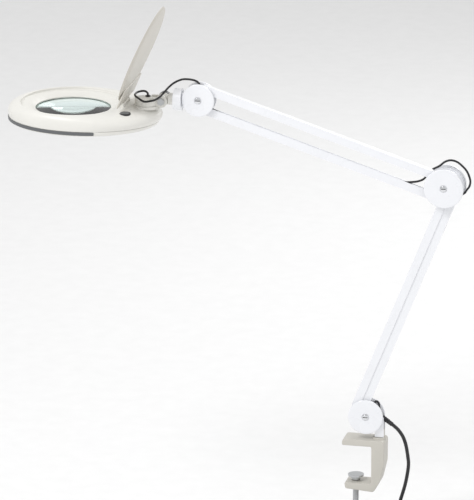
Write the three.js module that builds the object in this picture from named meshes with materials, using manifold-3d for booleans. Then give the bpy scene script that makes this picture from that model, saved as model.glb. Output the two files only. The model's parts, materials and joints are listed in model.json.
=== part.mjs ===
// A clamp-on magnifying lamp. Millimetres, +Z up, the arms lie in planes of constant Y.
// The origin is the middle of the top jaw's gripping face, on the clamp screw's axis.
import * as THREE from 'three';
import { mergeVertices } from 'three/addons/utils/BufferGeometryUtils.js';
import Module from 'manifold-3d';

const wasm = await Module();
wasm.setup();

// ---------------------------------------------------------------- driving dimensions

const GAP = 0.3;

// Joint centres, as [x, z].
const BASE = [16.9, 47.9];
const ELBOW = [142.4, 442.3];
const HEAD_JOINT = [-256.6, 563.4];

// The upper arm and the head stand this far in front of the lower arm's plane.
const UPPER_Y = -10.8;

const BASE_COVER_RADIUS = 28.5;
const ELBOW_COVER_RADIUS = 31.8;
const HEAD_COVER_RADIUS = 26.5;
const COVER_OVERHANG = 1.2;
const COVER_DEPTH = 4.5;
const PLATE_THICKNESS = 1.8;
const MIDDLE_PLATE_THICKNESS = 1.2;
const SCREW_HEAD_RADIUS = 5;

const BAR_HEIGHT = 13;
const OUTER_BAR = { width: 9, wall: 1 };
const INNER_BAR = { width: 6.4, wall: 0.9 };
const PIN_RADIUS = 2.8;
const PIN_HOLE_RADIUS = 3.1;
const PLATE_INNER_FACE = OUTER_BAR.width / 2 + GAP;
const SPRING_RADIUS = 2.5;

// Pivot pins, measured from their joint's centre. Each pair has the same spacing at both ends.
const UPPER_PIN_HALF_SPACING = 17.5;
const UPPER_PINS_AT_ELBOW = -11.5;
const UPPER_PINS_AT_HEAD = 9.4;
const LOWER_PIN_HALF_PAIR = [-3, 10];
const LOWER_PINS_AT_BASE = [-14, 8];
const LOWER_PINS_AT_ELBOW = [10.7, -8];

const CLAMP_HALF_WIDTH = 18;
const JAW_BOTTOM = 0.5;
const SWIVEL_X = 38;
const SWIVEL_RADIUS = 6;
const COLLAR_TOP = 13.7;
const CUP_TOP = -53;
const KNOB_BOTTOM = -146;

const LENS_RADIUS = 62.5;
const LENS_X = -466;
const OVAL_X = -446;
const HUB_X = -345;
const TILT_AXIS = [-319, 555];
const ROLL_AXIS_Z = 558;
const COVER_AXIS = [-380.5, 548.5];
const COVER_RADIUS = 83.5;
const HINGE_EDGE_HALF = 57;
const COVER_OPEN_ANGLE = 113;
const HEAD_SEGMENTS = 32;

const CABLE_RADIUS = 1.7;
const LEAD_RADIUS = 2.9;
const FLOOR_Z = -147;

// ---------------------------------------------------------------- finishes

const FINISHES = {
  white: { color: 0xf4f5f7, roughness: 0.35, metalness: 0 },
  head_white: { color: 0xe9e8e2, roughness: 0.4, metalness: 0 },
  cover_beige: { color: 0xdad6ca, roughness: 0.45, metalness: 0 },
  cast_cream: { color: 0xd6d2c4, roughness: 0.5, metalness: 0 },
  chrome: { color: 0xc9ccd0, roughness: 0.2, metalness: 1 },
  steel: { color: 0xa9acaf, roughness: 0.35, metalness: 1 },
  grey: { color: 0x8b8d8e, roughness: 0.5, metalness: 0 },
  black: { color: 0x17181a, roughness: 0.5, metalness: 0 },
  rubber: { color: 0x2b2c2e, roughness: 0.8, metalness: 0 },
  glass: { color: 0xb9d3cf, roughness: 0.05, metalness: 0 },
  diffuser: { color: 0xf2f2ea, roughness: 0.6, metalness: 0 },
  board: { color: 0x2f6b46, roughness: 0.6, metalness: 0 },
};

// ---------------------------------------------------------------- solids and shapes

/** A closed geometry as a solid that can be joined and cut. */
function solid(geometry) {
  const source = geometry.index ? geometry.toNonIndexed() : geometry;
  const bare = new THREE.BufferGeometry();
  bare.setAttribute('position', source.getAttribute('position').clone());
  const merged = mergeVertices(bare, 1e-4);
  const points = merged.getAttribute('position');
  const corners = [];
  let volume = 0;
  const [a, b, c] = [new THREE.Vector3(), new THREE.Vector3(), new THREE.Vector3()];
  for (let i = 0; i < merged.index.count; i += 3) {
    const [p, q, r] = [merged.index.getX(i), merged.index.getX(i + 1), merged.index.getX(i + 2)];
    if (p === q || q === r || r === p) continue;
    corners.push(p, q, r);
    a.fromBufferAttribute(points, p);
    b.fromBufferAttribute(points, q);
    c.fromBufferAttribute(points, r);
    volume += a.dot(b.cross(c));
  }
  if (volume < 0) corners.reverse();
  return new wasm.Manifold(new wasm.Mesh({
    numProp: 3,
    vertProperties: new Float32Array(points.array),
    triVerts: new Uint32Array(corners),
  }));
}

function toGeometry(body) {
  const mesh = body.getMesh();
  const geometry = new THREE.BufferGeometry();
  geometry.setAttribute('position', new THREE.BufferAttribute(mesh.vertProperties, 3));
  geometry.setIndex(new THREE.BufferAttribute(mesh.triVerts, 1));
  geometry.computeVertexNormals();
  return geometry;
}

const unite = (first, ...rest) => rest.reduce((body, other) => body.add(other), first);
const cut = (first, ...tools) => tools.reduce((body, tool) => body.subtract(tool), first);

function block(x0, x1, y0, y1, z0, z1) {
  const box = new THREE.BoxGeometry(x1 - x0, y1 - y0, z1 - z0);
  box.translate((x0 + x1) / 2, (y0 + y1) / 2, (z0 + z1) / 2);
  return solid(box);
}

/** A cylinder along z between two heights; two radii make a cone. */
function rod(radius, z0, z1, segments = 16, topRadius = radius) {
  const cylinder = new THREE.CylinderGeometry(topRadius, radius, z1 - z0, segments);
  cylinder.rotateX(Math.PI / 2);
  cylinder.translate(0, 0, (z0 + z1) / 2);
  return solid(cylinder);
}

/** A cylinder across the arms, along y, about the point [x, z]. */
function crossRod(radius, [x, z], y0, y1, segments = 12) {
  const cylinder = new THREE.CylinderGeometry(radius, radius, y1 - y0, segments);
  cylinder.translate(x, (y0 + y1) / 2, z);
  return solid(cylinder);
}

/** A profile of [radius, z] points turned about the z axis. */
function turned(profile, segments = 28) {
  const points = profile.map(([r, z]) => new THREE.Vector2(r, z));
  const lathe = new THREE.LatheGeometry(points, segments);
  lathe.rotateX(Math.PI / 2);
  return solid(lathe);
}

/** An outline in (x, z) given depth along y, from y0 to y1, with an optional edge bevel. */
function slab(shape, y0, y1, bevel = 0, curveSegments = 10) {
  const extruded = new THREE.ExtrudeGeometry(shape, {
    depth: y1 - y0 - 2 * bevel,
    bevelEnabled: bevel > 0,
    bevelThickness: bevel,
    bevelSize: bevel,
    bevelOffset: -bevel,
    bevelSegments: 1,
    curveSegments,
  });
  extruded.rotateX(Math.PI / 2);
  extruded.translate(0, y1 - bevel, 0);
  return solid(extruded);
}

function outline(points) {
  return new THREE.Shape(points.map(([x, z]) => new THREE.Vector2(x, z)));
}

/** A round section carried along a smooth route, with one step for each of its points. */
function tube(points, radius, sides = 8) {
  const curve = smooth(points);
  curve.getUtoTmapping = (u) => u;
  const steps = points.length - 1;
  const section = new THREE.Shape();
  for (let i = 0; i < sides; i += 1) {
    const angle = (2 * Math.PI * i) / sides;
    const corner = [radius * Math.cos(angle), radius * Math.sin(angle)];
    if (i === 0) section.moveTo(...corner);
    else section.lineTo(...corner);
  }
  section.closePath();
  const options = { steps, bevelEnabled: false, extrudePath: curve };
  return solid(new THREE.ExtrudeGeometry(section, options));
}

const smooth = (points) => new THREE.CatmullRomCurve3(
  points.map((p) => new THREE.Vector3(...p)), false, 'centripetal',
);

function piece(parent, name, body, finish) {
  const material = new THREE.MeshStandardMaterial(FINISHES[finish]);
  const mesh = new THREE.Mesh(toGeometry(body), material);
  mesh.name = name;
  parent.add(mesh);
  return mesh;
}

const plus = ([ax, az], [bx, bz]) => [ax + bx, az + bz];
const times = ([x, z], factor) => [x * factor, z * factor];

// ---------------------------------------------------------------- pin positions

const upperPins = {
  elbowOuter: plus(ELBOW, [UPPER_PINS_AT_ELBOW, UPPER_PIN_HALF_SPACING]),
  elbowInner: plus(ELBOW, [UPPER_PINS_AT_ELBOW, -UPPER_PIN_HALF_SPACING]),
  headOuter: plus(HEAD_JOINT, [UPPER_PINS_AT_HEAD, UPPER_PIN_HALF_SPACING]),
  headInner: plus(HEAD_JOINT, [UPPER_PINS_AT_HEAD, -UPPER_PIN_HALF_SPACING]),
};
const baseMiddle = plus(BASE, LOWER_PINS_AT_BASE);
const elbowMiddle = plus(ELBOW, LOWER_PINS_AT_ELBOW);
const lowerPins = {
  baseOuter: plus(baseMiddle, LOWER_PIN_HALF_PAIR),
  baseInner: plus(baseMiddle, times(LOWER_PIN_HALF_PAIR, -1)),
  elbowOuter: plus(elbowMiddle, LOWER_PIN_HALF_PAIR),
  elbowInner: plus(elbowMiddle, times(LOWER_PIN_HALF_PAIR, -1)),
};

/** Length and slope of the line from one pin to another; the slope is a turn about +Y. */
function span([x0, z0], [x1, z1]) {
  return { length: Math.hypot(x1 - x0, z1 - z0), turn: -Math.atan2(z1 - z0, x1 - x0) };
}
const upperSpan = span(upperPins.headInner, upperPins.elbowInner);
const lowerSpan = span(lowerPins.baseInner, lowerPins.elbowInner);

/** The point at a distance along a bar and a height above its pin line, as [x, z]. */
function onBar(pin, { turn }, along, height) {
  const x = pin[0] + along * Math.cos(turn) + height * Math.sin(turn);
  const z = pin[1] - along * Math.sin(turn) + height * Math.cos(turn);
  return [x, z];
}

// ---------------------------------------------------------------- clamp

function clampFrame() {
  const casting = slab(outline([
    [-20, JAW_BOTTOM], [28.3, JAW_BOTTOM], [28.3, -63], [-16, -63], [-14, -73], [31, -76.5],
    [34, -74], [42, -60], [49, -30], [49, 8], [46, 11], [-17, 11], [-20, 8],
  ]), -CLAMP_HALF_WIDTH, CLAMP_HALF_WIDTH, 1.5);
  const collar = rod(10.5, 8, COLLAR_TOP, 20).translate([SWIVEL_X, 0, 0]);
  const socket = rod(SWIVEL_RADIUS + GAP, -22, COLLAR_TOP + 1, 16).translate([SWIVEL_X, 0, 0]);
  const padRecess = block(-17.3, 25.3, -15.3, 15.3, -1, 2.3);
  const screwHole = rod(5.3, -80, -60, 16);
  return cut(unite(casting, collar), socket, padRecess, screwHole);
}

function pressureCup() {
  return turned([
    [0, CUP_TOP], [13, CUP_TOP], [13, CUP_TOP - 2.5], [7.5, CUP_TOP - 5], [7.5, CUP_TOP - 8.5],
    [4.3, CUP_TOP - 8.5], [4.3, CUP_TOP - 3.5], [0, CUP_TOP - 3.5],
  ], 20);
}

function clampScrew() {
  const tip = CUP_TOP - 3.8;
  return turned([
    [0, tip], [4, tip], [4, tip - 5.5], [5, tip - 6], [5, -121], [3.8, -121], [3.8, -129], [0, -129],
  ], 16);
}

function clampKnob() {
  const lobes = 6;
  const steps = lobes * 6;
  const rim = [];
  for (let i = 0; i < steps; i += 1) {
    const angle = (2 * Math.PI * i) / steps;
    const radius = 16.8 + 1.2 * Math.cos(lobes * angle);
    rim.push([radius * Math.cos(angle), radius * Math.sin(angle)]);
  }
  const height = -124 - KNOB_BOTTOM;
  const grip = slab(outline(rim), 0, height, 1.5).rotate([90, 0, 0]).translate([0, 0, KNOB_BOTTOM]);
  return cut(grip, rod(4.1, -129.3, -120, 16));
}

// ---------------------------------------------------------------- joints of the arms

const disc = (radius, centre, y0, y1) => crossRod(radius, centre, y0, y1, 24);

/** A round cover; side -1 faces the front, +1 the rear. y is its inner face. */
function cover(radius, [x, z], y, side) {
  const body = turned([
    [0, 0], [radius, 0], [radius, COVER_DEPTH - 1.2], [radius - 1.2, COVER_DEPTH],
    [SCREW_HEAD_RADIUS + 0.6, COVER_DEPTH],
    [SCREW_HEAD_RADIUS + 0.6, COVER_DEPTH - 0.9], [0, COVER_DEPTH - 0.9],
  ], 24);
  return body.rotate([-90 * side, 0, 0]).translate([x, y, z]);
}

/** The slotted screw that holds a front cover. */
function coverScrew([x, z], y) {
  const r = SCREW_HEAD_RADIUS;
  const head = turned([[0, 0], [r, 0], [r, 1], [r - 1.4, 1.8], [0, 1.8]], 12);
  const slot = block(-r, r, -0.6, 0.6, 1.1, 3);
  return cut(head, slot).rotate([90, 0, 0]).translate([x, y, z]);
}

function basePlate(y0, y1) {
  const leg = block(31.8, 46.2, y0, y1, COLLAR_TOP + 3 * GAP, BASE[1]);
  return unite(disc(BASE_COVER_RADIUS - COVER_OVERHANG, BASE, y0, y1), leg);
}

function basePost() {
  const pin = rod(SWIVEL_RADIUS, -20.7, COLLAR_TOP + 2 * GAP, 16).translate([SWIVEL_X, 0, 0]);
  const half = OUTER_BAR.width / 2;
  return unite(pin, block(31.5, 46, -half, half, COLLAR_TOP + GAP, 27));
}

const RELIEF_START = [SWIVEL_X, 50.5];
const RELIEF_LENGTH = 26;
const RELIEF_TURN = 125.5;
const reliefAngle = THREE.MathUtils.degToRad(RELIEF_TURN);
const reliefDirection = [Math.sin(reliefAngle), Math.cos(reliefAngle)];
const RELIEF_END = plus(RELIEF_START, times(reliefDirection, RELIEF_LENGTH));

function leadRelief() {
  const sleeve = rod(4.4, 0, RELIEF_LENGTH, 12, 3.7);
  return sleeve.rotate([0, RELIEF_TURN, 0]).translate([RELIEF_START[0], 0, RELIEF_START[1]]);
}

function pivotPin(centre, y = 0) {
  return crossRod(PIN_RADIUS, centre, y - OUTER_BAR.width / 2, y + OUTER_BAR.width / 2);
}

// ---------------------------------------------------------------- arm bars

/** A channel with round ends over its two pins. facing +1 opens upwards, -1 downwards. */
function channel({ width, wall }, length, facing) {
  const half = BAR_HEIGHT / 2;
  const shape = new THREE.Shape();
  shape.moveTo(0, -half);
  shape.lineTo(length, -half);
  shape.absarc(length, 0, half, -Math.PI / 2, Math.PI / 2, false);
  shape.lineTo(0, half);
  shape.absarc(0, 0, half, Math.PI / 2, 1.5 * Math.PI, false);
  const bar = slab(shape, -width / 2, width / 2, 0, 6);
  const inside = width / 2 - wall;
  const web = -facing * (half - wall);
  const [low, high] = facing > 0 ? [web, BAR_HEIGHT] : [-BAR_HEIGHT, web];
  const hollow = block(-10, length + 10, -inside, inside, low, high);
  const holes = [0, length].map((x) => crossRod(PIN_HOLE_RADIUS, [x, 0], -width, width, 12));
  return cut(bar, hollow, ...holes);
}

const NOTCH = [12.5, 25.5];
const NOTCH_DEPTH = 3.2;

/** The lower inner channel, notched over the outer bar's pin and slotted for the cable. */
function lowerInnerBar() {
  const pinNotch = block(...NOTCH, -5, 5, BAR_HEIGHT / 2 - NOTCH_DEPTH, BAR_HEIGHT);
  const cableSlot = block(13, 28, -2.3, 2.3, -BAR_HEIGHT, -BAR_HEIGHT / 2 + 2);
  return cut(channel(INNER_BAR, lowerSpan.length, 1), pinNotch, cableSlot);
}

/** The lower outer channel, notched over the inner bar's pin at the elbow. */
function lowerOuterBar() {
  const end = lowerSpan.length;
  const notch = block(end - NOTCH[1], end - NOTCH[0], -6, 6, -BAR_HEIGHT, NOTCH_DEPTH - BAR_HEIGHT / 2);
  return cut(channel(OUTER_BAR, end, -1), notch);
}

function balanceSpring(length) {
  const coil = rod(SPRING_RADIUS, 0, length, 10).rotate([0, 90, 0]);
  return coil.translate([60, 0, SPRING_RADIUS + 0.3]);
}

// ---------------------------------------------------------------- head knuckle

function headFlange() {
  const half = OUTER_BAR.width / 2;
  const disk = rod(18, 0, 13, 28).rotate([0, 90, 0]).translate([-299, 0, ROLL_AXIS_Z]);
  return unite(disk, block(-290, -270, -half, half, ROLL_AXIS_Z - 10, ROLL_AXIS_Z + 10));
}

function rollBarrel() {
  const barrel = rod(9.5, 0, 9, 18).rotate([0, 90, 0]).translate([-308.3, 0, ROLL_AXIS_Z]);
  const tongue = crossRod(9.5, TILT_AXIS, -6, 6, 20);
  const neck = block(TILT_AXIS[0], -305, -6, 6, TILT_AXIS[1] - 4.5, TILT_AXIS[1] + 9);
  return cut(unite(barrel, tongue, neck), crossRod(3.6, TILT_AXIS, -10, 10));
}

function tiltHub() {
  const boss = rod(19, 547.3, 557, 26).translate([HUB_X, 0, 0]);
  const ears = [-1, 1].map((side) => {
    const [y0, y1] = side < 0 ? [-10.3, -6.3] : [6.3, 10.3];
    const eye = crossRod(10, TILT_AXIS, y0, y1, 20);
    return unite(eye, block(HUB_X + 7, TILT_AXIS[0], y0, y1, 547.6, 561));
  });
  const clearance = block(TILT_AXIS[0] - 10.3, TILT_AXIS[0] + 20, -6.3, 6.3, 540, 570);
  return cut(unite(boss, ...ears), clearance, crossRod(3.6, TILT_AXIS, -12, 12));
}

function tiltBolt() {
  const shank = crossRod(3.2, TILT_AXIS, -10.6, 10.6);
  return unite(shank, crossRod(6, TILT_AXIS, -13.6, -10.6, 6));
}

function tiltKnob() {
  const [x, z] = TILT_AXIS;
  const grip = turned([[0, 0], [9, 0], [10.5, 1.5], [10.5, 9], [9, 11], [0, 11]], 18);
  return grip.rotate([-90, 0, 0]).translate([x, 10.9, z]);
}

const GLAND = [HUB_X, 9.7];

function cableGland() {
  return turned([[0, 557.3], [4.4, 557.3], [4.4, 558.4], [3, 559.3], [0, 559.3]], 14)
    .translate([...GLAND, 0]);
}

// ---------------------------------------------------------------- lamp head

/** Moves a point of a round form outwards into the head's oval plan. */
function ovalPoint(x, y) {
  const r = Math.hypot(x, y);
  const t = THREE.MathUtils.clamp((r - 84) / 28, 0, 1);
  const centre = THREE.MathUtils.lerp(LENS_X, OVAL_X, t);
  return [centre + x * THREE.MathUtils.lerp(1, 1.125, t), y * THREE.MathUtils.lerp(1, 0.875, t)];
}

/** A turned profile whose outer part follows the oval plan. */
function ovalTurned(profile) {
  const points = profile.map(([r, z]) => new THREE.Vector2(r, z));
  const lathe = new THREE.LatheGeometry(points, HEAD_SEGMENTS);
  lathe.rotateX(Math.PI / 2);
  const position = lathe.getAttribute('position');
  for (let i = 0; i < position.count; i += 1) {
    const [x, y] = ovalPoint(position.getX(i), position.getY(i));
    position.setXY(i, x, y);
  }
  return solid(lathe);
}

const aboutLens = (profile) => turned(profile, HEAD_SEGMENTS).translate([LENS_X, 0, 0]);

const BUTTON = [-369.5, -50];

function topHousing() {
  const shell = ovalTurned([
    [110.5, 521.3], [112, 528], [111, 534], [107.5, 539], [101, 543], [93, 545.2], [86.5, 545.6],
    [84.3, 544.6], [84, 541.2], [70, 540.6], [60.5, 535.7], [60.5, 533.5],
    [63, 533.5], [69.5, 537.6], [83, 538.3], [87, 542.4], [93, 542.6], [100, 540.5], [105.5, 537],
    [108.5, 533], [109.4, 528], [108, 521.3], [110.5, 521.3],
  ]);
  const pedestal = rod(20.5, 541, 547, 26).translate([HUB_X, 0, 0]);
  const pedestalCore = rod(17.5, 530, 544, 20).translate([HUB_X, 0, 0]);
  const flank = block(-375, HUB_X, -14, 14, 541.2, 544.6);
  const lugs = [[-24, -19], [19, 24]].map(([y0, y1]) => unite(
    crossRod(3.3, COVER_AXIS, y0, y1, 14),
    block(COVER_AXIS[0] - 3.3, COVER_AXIS[0] + 3.3, y0, y1, 543.6, COVER_AXIS[1]),
  ));
  const pinHole = crossRod(1.5, COVER_AXIS, -30, 30, 10);
  const buttonHole = rod(8.4, 530, 560, 18).translate([...BUTTON, 0]);
  return cut(unite(shell, cut(pedestal, pedestalCore), flank, ...lugs), pinHole, buttonHole);
}

function bottomHousing() {
  return ovalTurned([
    [110.2, 520.9], [109, 515.5], [106.5, 513.6], [89.5, 513.6], [89.5, 515.6], [105.5, 515.6],
    [107.2, 517], [108, 520.9], [110.2, 520.9],
  ]);
}

function lens() {
  const rise = [0, 0.35, 0.7, 1];
  const sag = 5.6;
  const upper = rise.map((t) => [LENS_RADIUS * t, 532.7 + sag * (1 - t * t)]);
  const lower = rise.toReversed().map((t) => [LENS_RADIUS * t, 529.7 - sag * (1 - t * t)]);
  return aboutLens([...upper, ...lower]);
}

function lensRing() {
  return aboutLens([
    [58.5, 526], [66.4, 526], [66.4, 529.4], [62.5, 529.4], [58.5, 528.5], [58.5, 526],
  ]);
}

function reflector() {
  return aboutLens([
    [66.8, 516], [69, 532.2], [87, 532.2], [89.2, 516], [88.2, 516], [86, 531.1], [70, 531.1],
    [67.8, 516], [66.8, 516],
  ]);
}

function ledBoard() {
  return aboutLens([[72, 529.6], [84, 529.6], [84, 530.8], [72, 530.8], [72, 529.6]]);
}

function diffuser() {
  return aboutLens([[69.1, 516.3], [86.9, 516.3], [86.6, 518.3], [69.4, 518.3], [69.1, 516.3]]);
}

const hingePin = () => crossRod(1.2, COVER_AXIS, -23.7, 23.7, 10);

/** The lens cover, closed over the lens and measured from its hinge axis. */
function lensCover() {
  const [axisX, axisZ] = COVER_AXIS;
  const r = COVER_RADIUS;
  const dish = turned([
    [0, 547.4], [60, 546.9], [76, 545.9], [81.5, 544.2], [r, 541.6], [r - 1.8, 541.6],
    [80.5, 543], [75.5, 544.2], [60, 545.1], [0, 545.6],
  ], HEAD_SEGMENTS).translate([LENS_X, 0, 0]);
  const tab = unite(
    crossRod(2.5, COVER_AXIS, -18.5, 18.5, 12),
    block(axisX - 6, axisX, -18.5, 18.5, axisZ - 2.5, axisZ + 0.4),
    block(axisX - 16, axisX - 3.2, -18.5, 18.5, axisZ - 3.5, axisZ + 0.4),
    block(axisX - 36, axisX - 3.9, -HINGE_EDGE_HALF, HINGE_EDGE_HALF, axisZ - 2.5, axisZ - 0.1),
  );
  const body = cut(unite(dish, tab), crossRod(1.5, COVER_AXIS, -30, 30, 10));
  return body.translate([-axisX, 0, -axisZ]);
}

function powerButton() {
  return turned([[0, 538], [8, 538], [8, 544.6], [7.2, 545.3], [0, 545.3]], 18)
    .translate([...BUTTON, 0]);
}

// ---------------------------------------------------------------- cables and the mains lead

/** From the gland on the head, over the knuckle and into the upper arm's inner channel. */
const HEAD_LOOP = [
  [-345, 9.7, 559.8], [-345.8, 10.2, 562.4], [-350, 12.8, 564.4], [-356.8, 14.8, 563.8],
  [-362.6, 10, 562.8], [-364, 1, 562], [-361.5, -9, 562], [-354, -18.5, 561],
  [-343.1, -25.7, 558], [-332.6, -28.3, 560], [-323.7, -28, 563],
  [-317.3, -21.4, 567], [-312.1, -13, 573], [-307.7, -1.7, 578], [-301.4, 5.3, 583],
  [-293.4, 5.3, 587.5], [-286.5, 5, 590], [-278, 3.3, 591], [-269, 2.3, 590.5], [-262, 2, 588],
  [-258.5, 1.2, 584], [-258.2, 0.6, 578.5], [-256.4, 0, 571.5], [-252.8, 0, 563.5],
  [-248, 0, 556], [-243, 0, 550], [-236.5, 0, 544.7], [-229, 0, 540.3],
];
const HEAD_OFFSET = [2.3, UPPER_Y, 3.2];
const CHANNEL_HEIGHT = -3.4;

const inUpperChannel = (along) => {
  const [x, z] = onBar(upperPins.headInner, upperSpan, along, CHANNEL_HEIGHT);
  return [x, UPPER_Y, z];
};
const inLowerChannel = (along) => {
  const [x, z] = onBar(lowerPins.baseInner, lowerSpan, along, CHANNEL_HEIGHT);
  return [x, 0, z];
};

/** Out of the upper channel and up behind the upper arm at the elbow. */
const ELBOW_EXIT = [
  [62, -10.8, 444.6], [80, -10.8, 446.5], [88, -10.2, 447.3], [97, -8.5, 448.2],
  [105, -5.5, 450.5], [109, -4.2, 453.5], [112, -3.9, 459.5], [116, -3.9, 465], [122.8, -3.9, 469.5],
];
/** Over the top of the elbow, down its outer side and into the lower inner channel. */
const ELBOW_LOOP = [
  [132.5, -3.5, 474.9], [140.9, -3, 482], [147.3, -2.8, 484.6], [153.7, -2.5, 484.9],
  [161.3, -2, 482.3], [169.3, -1.5, 475.9], [175.8, -1, 468.5], [179.7, -0.5, 460.2],
  [181.8, 0, 451], [180.1, 0, 442.4], [176.3, 0, 437.2], [172.7, 0, 431.4], [167, 0, 428.8],
  [161, 0, 429.3], [155, 0, 430.2], [150.6, 0, 426.8], [148.4, 0, 419.8], [146.4, 0, 412],
];
/** Out through the lower channel's slot and round to the strain relief. */
const BASE_LOOP = [
  [15.5, 0, 70], [17.5, 0, 63.5], [21, 0, 60.5], [25, 0, 62], [28.5, 0, 68], [32, 0, 73.2],
  [35.5, 0, 72], [37.5, 0, 66], [37, 0, 59], [37, 0, 53.3],
];

const headLoopPoints = HEAD_LOOP.map(([x, y, z]) => [
  x + HEAD_OFFSET[0], y + HEAD_OFFSET[1], z + HEAD_OFFSET[2],
]);
const UPPER_RUN = [36, 140, 250, 315];
const LOWER_RUN = [375, 300, 200, 100, 40];
const headCable = [...headLoopPoints, inUpperChannel(UPPER_RUN[0])];
const upperCable = [...[UPPER_RUN[0] + 1, ...UPPER_RUN.slice(1)].map(inUpperChannel), ...ELBOW_EXIT];
const lowerCable = [...ELBOW_LOOP, ...LOWER_RUN.map(inLowerChannel), ...BASE_LOOP];

const COIL_LAYERS = 4;
const COIL_HEIGHT = COIL_LAYERS * 2 * LEAD_RADIUS + 0.8;
const COIL_INNER = 27;
const COIL_OUTER = 39.5;
const COIL_CENTRE = [122, -COIL_OUTER];
const COIL_TOP_CENTRE_Z = FLOOR_Z + LEAD_RADIUS + (COIL_LAYERS - 1) * 2 * LEAD_RADIUS;
/** How far along its tangent the lead is clear of the coil's outer face. */
const COIL_CLEAR = Math.sqrt((COIL_OUTER + 2 * LEAD_RADIUS + GAP) ** 2 - COIL_OUTER ** 2) + 1;

/** Down from the strain relief, past the clamp's side and onto the top of the coil. */
const LEAD_DROP = [
  [61.5, 0, 33.7], [69, 0, 27], [76.5, 0, 16.5], [81.5, 0, 3], [85.2, 0, -17.6], [86.4, 0, -29.9],
  [84.4, 0, -48.5], [81, 0, -66], [77, 0, -81], [73.7, 0, -92.5], [72.3, 0, -103],
  [75.7, 0, -113.7], [83.3, 0, -122], [92.2, 0, -126.1],
];
const leadRoute = [...LEAD_DROP, [COIL_CENTRE[0] - COIL_CLEAR, 0, COIL_TOP_CENTRE_Z]];

function mainsCoil() {
  const [inner, outer] = [COIL_INNER - LEAD_RADIUS, COIL_OUTER + LEAD_RADIUS];
  const [low, high] = [FLOOR_Z, FLOOR_Z + COIL_HEIGHT];
  return turned([[inner, low], [outer, low], [outer, high], [inner, high], [inner, low]], 28)
    .translate([...COIL_CENTRE, 0]);
}

/** A two-pin plug lying flat, its tail towards +X. */
function mainsPlug() {
  const grip = outline([
    [-15, -46], [15, -46], [17, -40], [17, -22], [8, -6], [5, 0],
    [-5, 0], [-8, -6], [-17, -22], [-17, -40],
  ]);
  const body = slab(grip, -7.5, 7.5, 2);
  const tail = rod(4, -1, 16, 12, 3.5);
  const pins = [-9.5, 9.5].map((x) => rod(2.3, -65, -45, 10).translate([x, 0, 0]));
  return unite(body, tail, ...pins);
}

// ---------------------------------------------------------------- assembly

const lamp = new THREE.Group();

function buildClamp() {
  piece(lamp, 'clamp_frame', clampFrame(), 'cast_cream');
  piece(lamp, 'jaw_pad', block(-17, 25, -15, 15, 0, 2), 'rubber');
  piece(lamp, 'pressure_cup', pressureCup(), 'steel');
  piece(lamp, 'clamp_screw', clampScrew(), 'steel');
  piece(lamp, 'clamp_knob', clampKnob(), 'black');
}

function buildBaseJoint() {
  const inner = PLATE_INNER_FACE;
  const outer = inner + PLATE_THICKNESS;
  const coverFace = outer + GAP;
  const radius = BASE_COVER_RADIUS;
  piece(lamp, 'base_post', basePost(), 'cast_cream');
  piece(lamp, 'base_plate_front', basePlate(-outer, -inner), 'white');
  piece(lamp, 'base_plate_rear', basePlate(inner, outer), 'white');
  piece(lamp, 'base_cap_front', cover(radius, BASE, -coverFace, -1), 'white');
  piece(lamp, 'base_cap_rear', cover(radius, BASE, coverFace, 1), 'white');
  piece(lamp, 'base_cap_screw', coverScrew(BASE, -coverFace - COVER_DEPTH + 0.6), 'chrome');
  piece(lamp, 'base_pin_outer', pivotPin(lowerPins.baseOuter), 'steel');
  piece(lamp, 'base_pin_inner', pivotPin(lowerPins.baseInner), 'steel');
  piece(lamp, 'lead_relief', leadRelief(), 'black');
}

/** Puts a group at a pin, turned so that its x axis runs along the arm. */
function armGroup([x, z], { turn }, y) {
  const group = new THREE.Group();
  group.position.set(x, y, z);
  group.rotation.y = turn;
  lamp.add(group);
  return group;
}

function buildLowerArm() {
  const innerArm = armGroup(lowerPins.baseInner, lowerSpan, 0);
  piece(innerArm, 'lower_inner_bar', lowerInnerBar(), 'white');
  const outerArm = armGroup(lowerPins.baseOuter, lowerSpan, 0);
  piece(outerArm, 'lower_outer_bar', lowerOuterBar(), 'white');
  piece(outerArm, 'lower_spring', balanceSpring(240), 'steel');
}

function buildElbow() {
  const inner = PLATE_INNER_FACE;
  const rearOuter = inner + PLATE_THICKNESS;
  const frontOuter = UPPER_Y - rearOuter;
  const plate = ELBOW_COVER_RADIUS - COVER_OVERHANG;
  piece(lamp, 'elbow_plate_front', disc(plate, ELBOW, frontOuter, UPPER_Y - inner), 'white');
  piece(lamp, 'elbow_plate_middle', disc(plate, ELBOW, -inner - MIDDLE_PLATE_THICKNESS, -inner), 'white');
  piece(lamp, 'elbow_plate_rear', disc(plate, ELBOW, inner, rearOuter), 'white');
  piece(lamp, 'elbow_cap_front', cover(ELBOW_COVER_RADIUS, ELBOW, frontOuter - GAP, -1), 'white');
  piece(lamp, 'elbow_cap_rear', cover(ELBOW_COVER_RADIUS, ELBOW, rearOuter + GAP, 1), 'white');
  const screwFace = frontOuter - GAP - COVER_DEPTH + 0.6;
  piece(lamp, 'elbow_cap_screw', coverScrew(ELBOW, screwFace), 'chrome');
  piece(lamp, 'elbow_pin_lower_outer', pivotPin(lowerPins.elbowOuter), 'steel');
  piece(lamp, 'elbow_pin_lower_inner', pivotPin(lowerPins.elbowInner), 'steel');
  piece(lamp, 'elbow_pin_upper_outer', pivotPin(upperPins.elbowOuter, UPPER_Y), 'steel');
  piece(lamp, 'elbow_pin_upper_inner', pivotPin(upperPins.elbowInner, UPPER_Y), 'steel');
}

function buildUpperArm() {
  const innerArm = armGroup(upperPins.headInner, upperSpan, UPPER_Y);
  piece(innerArm, 'upper_inner_bar', channel(INNER_BAR, upperSpan.length, 1), 'white');
  const outerArm = armGroup(upperPins.headOuter, upperSpan, UPPER_Y);
  piece(outerArm, 'upper_outer_bar', channel(OUTER_BAR, upperSpan.length, -1), 'white');
  piece(outerArm, 'upper_spring', balanceSpring(240), 'steel');
}

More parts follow.
